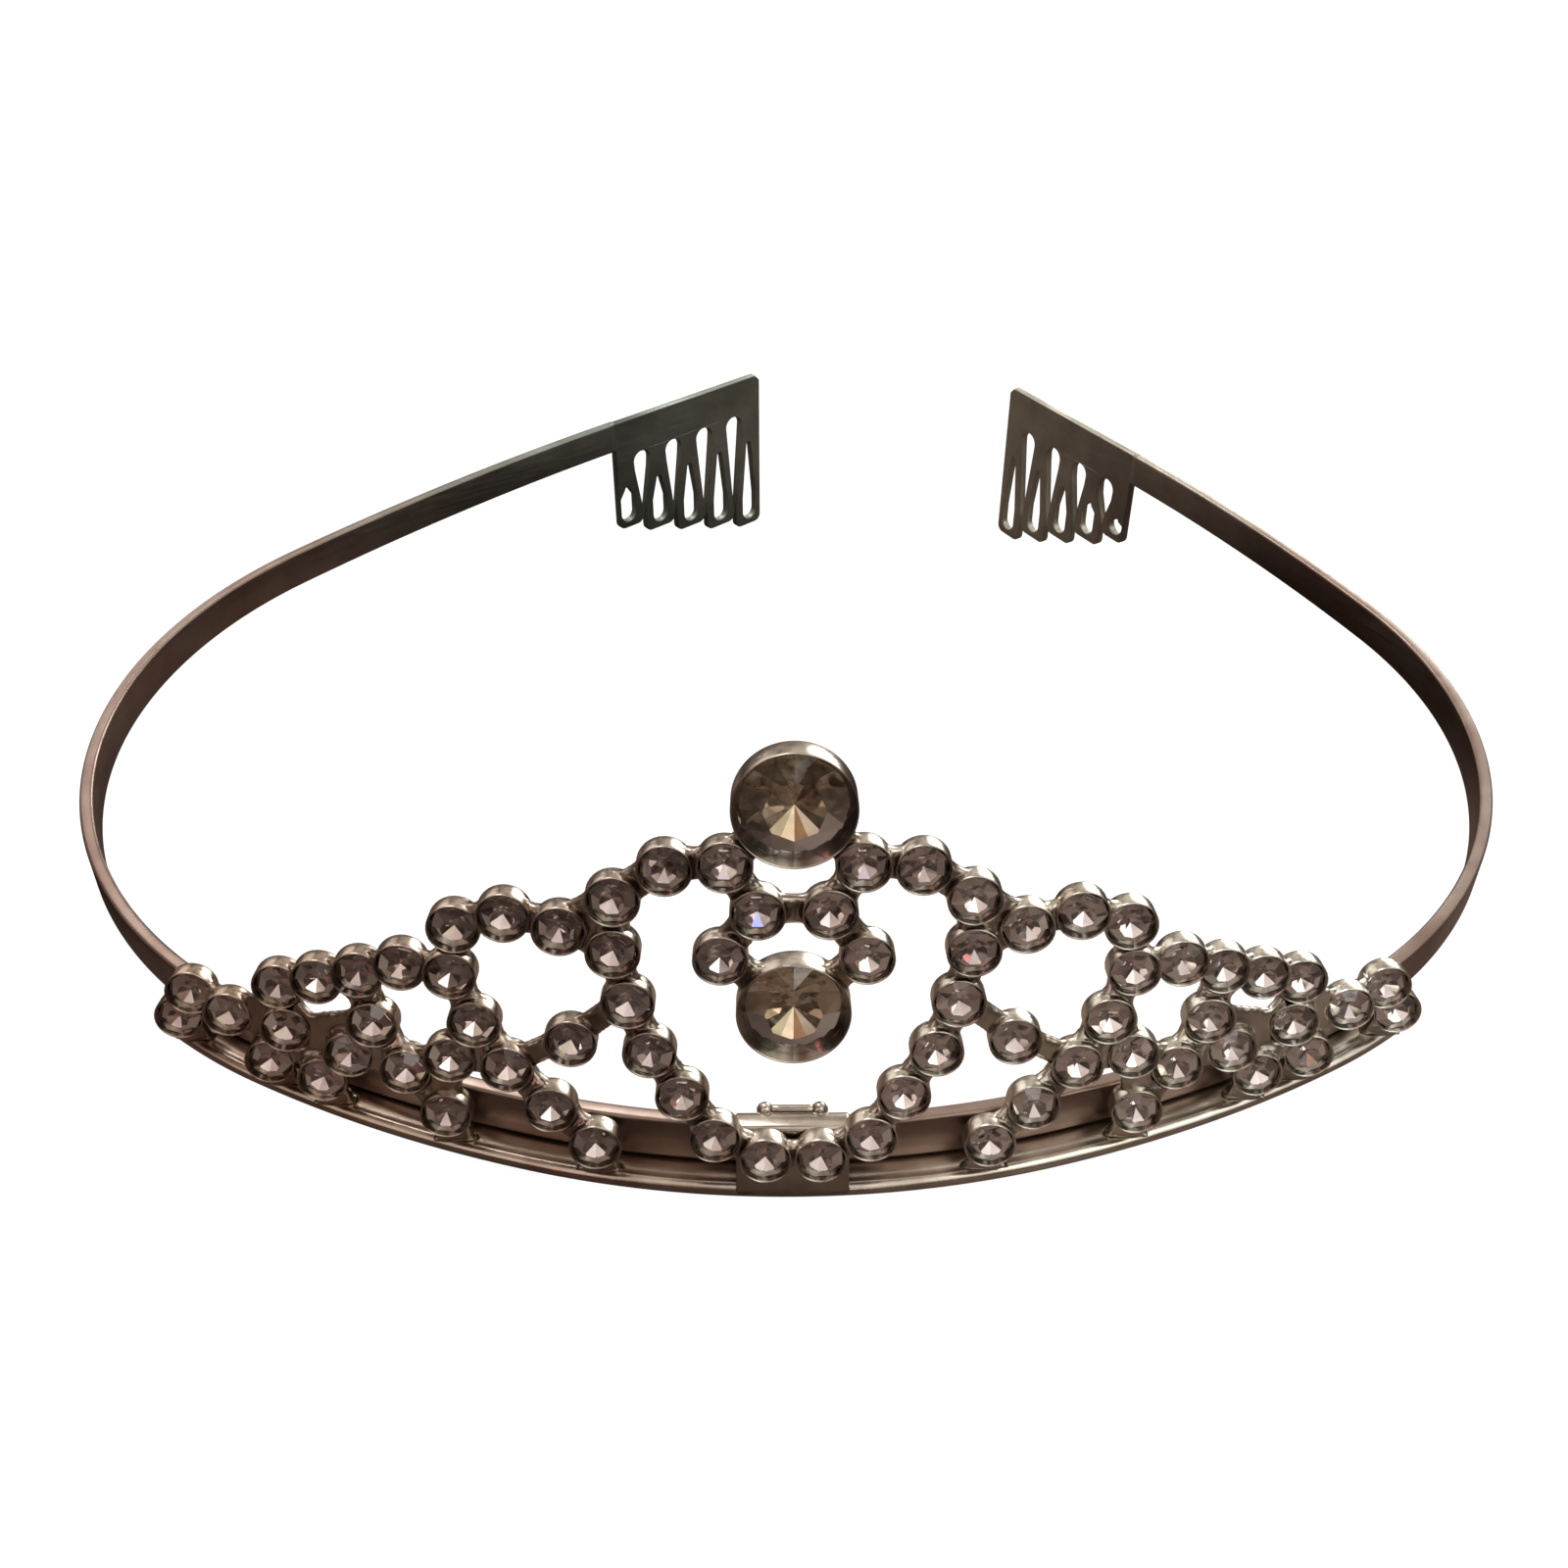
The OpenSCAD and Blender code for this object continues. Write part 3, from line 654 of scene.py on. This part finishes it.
def in_cup(c, d):
    return cup_place(c) @ Vector((0, d, 0))


def bar(a, b, size):
    """Bar between the middles of the cups a and b; size is its width, front and back depth."""
    width, d0, d1 = size
    outlines = []
    for d in (d0, d1):
        p, q = in_cup(a, d), in_cup(b, d)
        across = (q - p).cross(in_cup(a, d + 1) - p).normalized() * width / 2
        outlines.append([p - across, q - across, q + across, p + across])
    return prism(*outlines)


def block(a, b, width, deep):
    """Upright-sided block from the middle of one end to the middle of the other."""
    corners = [Vector((x * width / 2, y * deep / 2, 0))
               for x, y in ((-1, -1), (1, -1), (1, 1), (-1, 1))]
    return prism([a + c for c in corners], [b + c for c in corners])


def foot(c):
    """Stem behind a lowest cup, and its sole on the rail's ledge."""
    p, _ = at(c[0], SOLE_OUT)
    low = Vector((p.x, p.y, SOLE_LOW))
    return [block(low, in_cup(c, CUP_DEPTH - STEM_IN), STEM_W, STEM_T),
            block(low, low + Vector((0, 0, SOLE_H)), SOLE_W, SOLE_T)]


def melt(solids, voxel, rounds):
    """Joins overlapping solids into one surface whose inner corners run soft, as cast."""
    verts, faces = [], []
    for v, f in solids:
        faces += [tuple(len(verts) + i for i in g) for g in f]
        verts += v
    mesh = bpy.data.meshes.new("melt")
    mesh.from_pydata(verts, [], faces)
    obj = bpy.data.objects.new("melt", mesh)
    bpy.context.scene.collection.objects.link(obj)
    remesh = obj.modifiers.new("remesh", "REMESH")
    remesh.mode = "VOXEL"
    remesh.voxel_size = voxel
    smooth = obj.modifiers.new("smooth", "SMOOTH")
    smooth.factor = 0.5
    smooth.iterations = rounds
    done = bpy.data.meshes.new_from_object(obj.evaluated_get(bpy.context.evaluated_depsgraph_get()))
    points = np.empty(len(done.vertices) * 3)
    done.vertices.foreach_get("co", points)
    faces = [tuple(p.vertices) for p in done.polygons]
    bpy.data.objects.remove(obj)
    bpy.data.meshes.remove(mesh)
    bpy.data.meshes.remove(done)
    return points.reshape(-1, 3), faces


def clear_cups(points):
    """Presses what lies inside a cup flat against its back, so that the stone has room."""
    for place, r, depth in CUPS:
        m = np.array(place)
        back = np.array(place.inverted())
        near = points @ back[:3, :3].T + back[:3, 3]
        flat = depth - MELT_BACK
        inside = (np.hypot(near[:, 0], near[:, 2]) < r - MELT_RIM) & (near[:, 1] < flat)
        inside &= near[:, 1] > -MELT_FRONT
        near[inside, 1] = flat
        points[inside] = near[inside] @ m[:3, :3].T + m[:3, 3]
    return [Vector(p) for p in points]


def joined_metal():
    """Everything between the cups: necks, fillets, webs and stems, as one soft surface."""
    solids = []
    for place, r, depth in CUPS:
        r, front, back = r - CORE_IN, CORE_FRONT, depth - CORE_BACK
        core, faces = lathe([(0.05, front), (r, front), (r, back), (0.05, back)], CORE_SIDES)
        solids.append(([place @ v for v in core], faces))
    near = [(a, b) for a, b in combinations(HALF, 2) if math.dist(a, b) < NECK_REACH]
    # Neighbours that stand further apart: beside the arch, and low in the wing
    far = [(ARCH[4], WING[8]), (WING[8], WING[5]), (WING[18], WING[20])]
    fills = [t for t in combinations(HALF, 3)
             if all(math.dist(a, b) < FILL_REACH for a, b in combinations(t, 2))]
    for side in (LEFT, RIGHT):
        for a, b in near:
            solids.append(bar(flip(a, side), flip(b, side), NECK))
        for a, b in far:
            solids.append(bar(flip(a, side), flip(b, side), LONG_NECK))
        solids.append(bar(flip(ARCH[10], side), (0, LOWER_CUP_H), LARGE_NECK))
        solids.append(bar(flip(ARCH[0], side), (0, TOP_CUP_H), LARGE_NECK))
        for t in fills:
            solids.append(prism(*([in_cup(flip(c, side), d) for c in t] for d in SHEET)))
        for w in WEBS:
            solids.append(prism(*([on_face(side * s, h, d) for s, h in w] for d in SHEET)))
        for c in HALF:
            if c[1] < FOOT_BELOW:
                solids += foot(flip(c, side))
    # Across the middle, between the large cups and in front of the tab
    for c in (ARCH[9], ARCH[8]):
        solids.append(bar(flip(c, LEFT), c, BRIDGE))
    points, faces = melt(solids, MELT_VOXEL, MELT_ROUNDS)
    return clear_cups(points), faces


def rail_section():
    """Ledge under the strip: (out, up) points, falling gently to a rounded nose."""
    r = (LIP_H - SEAM) / 2
    pts = [(-STRIP_T, LEDGE_END[1]), (-STRIP_T, -LIP_H)]
    for k in range(9):
        a = math.radians(-90 + 15 * k)
        pts.append((RAIL_OUT - r + r * math.cos(a), -SEAM - r + r * math.sin(a)))
    return pts + [(RAIL_OUT - back, up) for back, up in LEDGE] + [LEDGE_END]


def add_rail(shape):
    rings = []
    for s in steps(-RAIL_L, RAIL_L, STEP):
        ring = []
        for out, up in rail_section():
            p, _ = at(s, out)
            ring.append(Vector((p.x, p.y, up)))
        rings.append(ring)
    shape.add(*loft(rings))


def ridge(path, r):
    """Round bar along a straight path of points in x."""
    turns = [2 * math.pi * k / 12 for k in range(12)]
    return loft([[p + Vector((0, r * math.cos(a), r * math.sin(a))) for a in turns] for p in path])


def add_plate(shape, outline, width):
    """Adds a plate with the outline (y, z), its side edges a little rounded."""
    y0 = sum(y for y, _ in outline) / len(outline)
    z0 = sum(z for _, z in outline) / len(outline)
    rings = []
    for x, small in ((-width, 0.95), (0.07 - width, 0.985), (0.16 - width, 1),
                     (width - 0.16, 1), (width - 0.07, 0.985), (width, 0.95)):
        rings.append([Vector((x, y0 + (y - y0) * small, z0 + (z - z0) * small))
                      for y, z in outline])
    shape.add(*loft(rings))


def add_tab(shape):
    """Plate from the rail's nose up and over the strip, with a narrower fold down its back."""
    # The strip is curved, so the fold clears it at the tab's sides
    back = STRIP_T + (TAB_W / 2) ** 2 / (2 * (BENDS[RIGHT][0][0] - STRIP_T)) + SEAM
    top, low, outer = STRIP_H + SEAM, -LIP_H / 2, back + TAB_T
    y, z, roll = -0.2, top - 0.03, TAB_ROLL
    plate = [(-SEAM, top), (-SEAM, low), (0.04 - RAIL_OUT, low), (0.05 - RAIL_OUT, -0.2)]
    plate += [(-1.85, 1.1), (y - roll - 0.12, z - 0.5)]
    for k in range(8):
        a = math.radians(180 - 12.5 * k)
        plate.append((y + roll * math.cos(a), z + roll * math.sin(a)))
    plate += [(0.7, top + 0.37), (back - 0.4, top + 0.3), (back - 0.2, top + 0.15)]
    plate.append((back - 0.2, top))
    fold = [(0.4, top), (0.4, top + 0.2), (back - 0.5, top + 0.25), (back - 0.1, top + TAB_T)]
    fold += [(back + 0.25, top + TAB_T - 0.05), (outer, top + 0.1), (outer, top - TAB_BACK_H)]
    fold += [(back, top - TAB_BACK_H), (back, top)]
    add_plate(shape, plate, TAB_W / 2 + TAB_SIDE)
    add_plate(shape, fold, FOLD_W / 2)
    y, z, r = back + 0.05, top + TAB_T - 0.2, NUB_R
    nub = lathe([(0.02, -r), (0.3, -0.52), (0.52, -0.3), (r, 0), (0.52, 0.3), (0.3, 0.52),
                 (0.02, r)], 16)
    for x in (-NUB_X, NUB_X):
        shape.add(*nub, place=Matrix.Translation(Vector((x, y, z))))
    shape.add(*ridge([Vector((x, y, z)) for x in range(-NUB_X, NUB_X + 1)], NUB_BAR_R))


def casting():
    shape = Shape()
    for place, r, depth in CUPS:
        if depth == CUP_DEPTH:
            sides, profile = CUP_SIDES, cup_profile(r, depth, SMALL_SEAT, SMALL_GIRDLE)
        else:
            sides, profile = LARGE_SIDES, cup_profile(r, depth, r - LARGE_WALL, LARGE_GIRDLE)
        verts, faces = lathe(profile, sides)
        # The inner walls take the darker copy, painted shade inside the cups
        inner = range(RIM_POINTS * sides, (len(profile) - 1) * sides)
        shape.add(verts, faces, [int(i in inner) for i in range(len(faces))], place=place)
    shape.add(*joined_metal())
    add_rail(shape)
    add_tab(shape)
    return shape.piece("crown_casting", [CAST, CUP_WALL_SHADE], "cast_metal", "crown_front")


# ---------------------------------------------------------------- strip and combs


def comb_curve(side):
    """The comb's outline and holes as one filled flat curve, x along it and y up."""
    data = bpy.data.curves.new("comb", "CURVE")
    data.dimensions = "2D"
    data.fill_mode = "BOTH"

    def spline(points):
        s = data.splines.new("POLY")
        s.points.add(len(points) - 1)
        for p, (u, v) in zip(s.points, points):
            p.co = (u, STRIP_H - v, 0, 1)
        s.use_cyclic_u = True

    def arc(u, v, r, a0, a1, n):
        turns = [math.radians(a0 + (a1 - a0) * k / n) for k in range(n + 1)]
        return [(u + r * math.cos(a), v + r * math.sin(a)) for a in turns]

    outline = [(-ROOT, INSET), (COMB_L - TOP_CORNER, INSET), (COMB_L, TOP_CORNER + INSET)]
    for i in range(GAPS, -1, -1):
        a = gap_u(i) + (-INSET if i == 0 else GAP_FOOT_W / 2)
        b = gap_u(i + 1) - (0 if i == GAPS else GAP_FOOT_W / 2)
        foot = tips_at(side, gap_u(i + 1))
        outline += arc(b - TIP_CORNER, foot - TIP_CORNER, TIP_CORNER, 0, 90, 6)
        outline += arc(a + TIP_CORNER, foot - TIP_CORNER, TIP_CORNER, 90, 180, 6)
        if i > 0:
            u, r = gap_u(i), GAP_W / 2
            bend = tips_at(side, u) - GAP_BEND
            outline += [(u + GAP_FOOT_W / 2, bend), (u + r * GAP_CLOSE, GAP_TOP + 2 * r)]
            outline += arc(u, GAP_TOP + r, r, 0, -180, 14)
            outline += [(u - r * GAP_CLOSE, GAP_TOP + 2 * r), (u - GAP_FOOT_W / 2, bend)]
    outline += [(-INSET, STRIP_H - INSET), (-ROOT, STRIP_H - INSET)]
    spline(outline)
    for i in range(GAPS + 1):
        u = gap_u(1) + (i - 0.5) * TOOTH_PITCH
        foot = tips_at(side, gap_u(i + 1)) - TIP_WALL
        r, q = SLOT_W / 2, SLOT_NECK_W / 2
        v = max(foot - 3 * r, SLOT_TOP + 2 * q)
        spline(arc(u, SLOT_TOP + q, q, -180, 0, 8) + [(u + r, v)] + arc(u, foot - r, r, 0, 180, 14)
               + [(u - r, v)])
    return data


def comb_mesh(side):
    """The comb with rounded edges; its z is from its front to its back."""
    data = comb_curve(side)
    data.extrude = COMB_T / 2 - COMB_EDGE
    data.bevel_depth = COMB_EDGE
    data.bevel_resolution = 3
    data.offset = -COMB_EDGE
    obj = bpy.data.objects.new("comb_form", data)
    bpy.context.scene.collection.objects.link(obj)
    mesh = bpy.data.meshes.new_from_object(obj.evaluated_get(bpy.context.evaluated_depsgraph_get()))
    verts = [v.co.copy() for v in mesh.vertices]
    faces = [tuple(p.vertices) for p in mesh.polygons]
    bpy.data.objects.remove(obj)
    bpy.data.curves.remove(data)
    bpy.data.meshes.remove(mesh)
    return verts, faces


def band():
    shape = Shape()
    section = rounded_section(STRIP_T, STRIP_H, STRIP_EDGE)
    rings = []
    for s in steps(-PLAN[LEFT][-1][2], PLAN[RIGHT][-1][2], STEP):
        ring = []
        for out, up in section:
            p, _ = at(s, out - STRIP_T / 2)
            ring.append(Vector((p.x, p.y, up + STRIP_H / 2)))
        rings.append(ring)
    shape.add(*loft(rings))
    for side in (LEFT, RIGHT):
        p, a, _, _ = PLAN[side][-1]
        h = math.radians(a)
        along = Vector((math.cos(h), math.sin(h), 0))
        deep = Vector((-math.sin(h), math.cos(h), 0))
        verts, faces = comb_mesh(side)
        placed = []
        for v in verts:
            q = Vector((p.x, p.y, 0)) + along * v.x + deep * (STRIP_T / 2 + v.z)
            q += Vector((0, 0, v.y))
            placed.append(Vector((side * q.x, q.y, q.z)))
        if side == LEFT:
            faces = [tuple(reversed(f)) for f in faces]
        shape.add(placed, faces)
    return shape.piece("band_and_combs", [BAND], "band_metal", "headband")


# ---------------------------------------------------------------- floor, light and camera


# Half width of the floor, in metres
FLOOR_HALF = 3.0


def floor():
    mesh = bpy.data.meshes.new("floor")
    w = FLOOR_HALF
    mesh.from_pydata([(-w, -w, 0), (w, -w, 0), (w, w, 0), (-w, w, 0)], [], [(0, 1, 2, 3)])
    mesh.materials.append(floor_paint())
    obj = bpy.data.objects.new("floor", mesh)
    bpy.context.scene.collection.objects.link(obj)


# The room's light from straight down to straight up, in front of the ring and behind it
ROOM_FRONT = [(0.0, (0.02, 0.015, 0.013)), (0.5, (0.04, 0.03, 0.027)), (0.7, (0.13, 0.108, 0.098)),
              (0.84, (0.46, 0.42, 0.39)), (0.95, (0.8, 0.75, 0.7))]
ROOM_REAR = [(0.0, (0.02, 0.015, 0.013)), (0.5, (0.16, 0.145, 0.13)), (0.62, (0.42, 0.40, 0.365)),
             (0.95, (0.8, 0.75, 0.7))]
# Patches of the room, and its tone from left to right
ROOM_PATCHES = [(0.42, (0.3, 0.29, 0.28)), (0.6, (1.7, 1.7, 1.7))]
ROOM_TONE = [(0.0, (0.92, 0.80, 0.75)), (0.5, (1.04, 1.0, 0.96)), (1.0, (1.25, 1.34, 1.3))]
# Soft boxes of the studio: direction, half angle in degrees, softness of the edge, colour
BOXES = [
    ((0.43, 0.85, 0.27), 11, 5, (6.5, 6.4, 6.2)),
    ((-0.5, 0.75, 0.42), 9, 6, (1.6, 1.5, 1.4)),
    ((0.04, -0.52, 0.85), 16, 7, (1.0, 0.92, 0.88)),
    ((0.45, -0.58, 0.68), 12, 5, (1.3, 1.22, 1.17)),
    ((-0.45, -0.58, 0.68), 12, 5, (1.1, 0.98, 0.91)),
    ((0.73, -0.45, 0.51), 15, 4, (1.3, 1.22, 1.17)),
    ((-0.70, -0.49, 0.52), 15, 4, (1.05, 0.93, 0.86)),
    ((0.22, -0.72, 0.66), 9, 1.5, (1.6, 1.46, 1.3)),
    ((-0.19, -0.73, 0.66), 8, 1.5, (0.5, 0.3, 0.19)),
    ((0.57, -0.66, 0.48), 9, 2, (0.95, 0.93, 0.74)),
    ((0.85, 0.0, 0.5), 7, 2, (1.7, 1.5, 1.4)),
    ((0.12, -0.95, 0.28), 5, 2, (2.6, 2.5, 2.4)),
    ((-0.45, -0.8, 0.4), 2, 1, (6.0, 2.2, 2.3)),
    ((0.1, -0.5, 0.86), 1.0, 0.8, (1.1, 1.5, 3.4)),
]


def studio():
    """Dim warm room with soft boxes; the camera itself sees plain white round the board."""
    world = bpy.data.worlds.new("studio")
    world.use_nodes = True
    nodes, links = world.node_tree.nodes, world.node_tree.links
    nodes.clear()
    way = nodes.new("ShaderNodeTexCoord").outputs["Generated"]
    split = nodes.new("ShaderNodeSeparateXYZ")
    links.new(way, split.inputs[0])
    up = span(nodes, links, split.outputs[2], -1, 1, 0, 1)
    front = ramp(nodes, links, up, ROOM_FRONT)
    rear = ramp(nodes, links, up, ROOM_REAR)
    total = mix(nodes, links, span(nodes, links, split.outputs[1], -0.15, 0.35, 0, 1), front, rear)
    patch = ramp(nodes, links, noise(nodes, links, way, 5.2, 1.5), ROOM_PATCHES)
    total = mix(nodes, links, 1.0, total, patch, "MULTIPLY")
    tone = ramp(nodes, links, span(nodes, links, split.outputs[0], -0.7, 0.7, 0, 1), ROOM_TONE)
    total = mix(nodes, links, 1.0, total, tone, "MULTIPLY")
    for toward, wide, edge, colour in BOXES:
        dot = nodes.new("ShaderNodeVectorMath")
        dot.operation = "DOT_PRODUCT"
        dot.inputs[1].default_value = Vector(toward).normalized()
        links.new(way, dot.inputs[0])
        lit = span(nodes, links, dot.outputs["Value"], math.cos(math.radians(wide + edge)),
                   math.cos(math.radians(wide)), 0, 1)
        total = mix(nodes, links, lit, total, colour)
    seen = nodes.new("ShaderNodeLightPath").outputs["Is Camera Ray"]
    total = mix(nodes, links, seen, total, (1, 1, 1))
    shade = nodes.new("ShaderNodeBackground")
    links.new(total, shade.inputs[0])
    links.new(shade.outputs[0], nodes.new("ShaderNodeOutputWorld").inputs[0])
    bpy.context.scene.world = world


# Where the lamps look, in metres
LAMP_AIM = Vector((0, -0.03, 0.01))


def lamp(name, place, size, power):
    data = bpy.data.lights.new(name, "AREA")
    data.size = size
    data.energy = power
    obj = bpy.data.objects.new(name, data)
    obj.location = place
    obj.rotation_euler = (LAMP_AIM - Vector(place)).to_track_quat("-Z", "Y").to_euler()
    bpy.context.scene.collection.objects.link(obj)


def camera():
    data = bpy.data.cameras.new("camera")
    data.sensor_width = SENSOR
    data.lens = LENS
    data.clip_start, data.clip_end = 0.001, 10
    obj = bpy.data.objects.new("camera", data)
    yaw = Matrix.Rotation(math.radians(CAMERA_YAW), 4, "Z")
    pitch = Matrix.Rotation(math.radians(90 - CAMERA_PITCH), 4, "X")
    roll = Matrix.Rotation(math.radians(CAMERA_ROLL), 4, "Z")
    obj.matrix_world = Matrix.Translation(CAMERA_AT * MM) @ yaw @ pitch @ roll
    bpy.context.scene.collection.objects.link(obj)
    bpy.context.scene.camera = obj


camera()
studio()
lamp("key", (-0.2, 0.3, 0.7), 0.3, 1.6)
lamp("fill", (0.4, -0.3, 0.6), 0.4, 0.8)
floor()
band()
casting()
small_stones("center_cut_stones", [flip(c, side) for side in (LEFT, RIGHT) for c in ARCH],
             "center_stones")
small_stones("left_cut_stones", [flip(c, LEFT) for c in WING], "left_stones")
small_stones("right_cut_stones", [flip(c, RIGHT) for c in WING], "right_stones")
large_stone("large_cut_stone_top", TOP_CUP_H, TOP_CUP_D, "large_stone_top")
large_stone("large_cut_stone_lower", LOWER_CUP_H, LOWER_CUP_D, "large_stone_lower")
bpy.context.scene.view_settings.view_transform = "Standard"
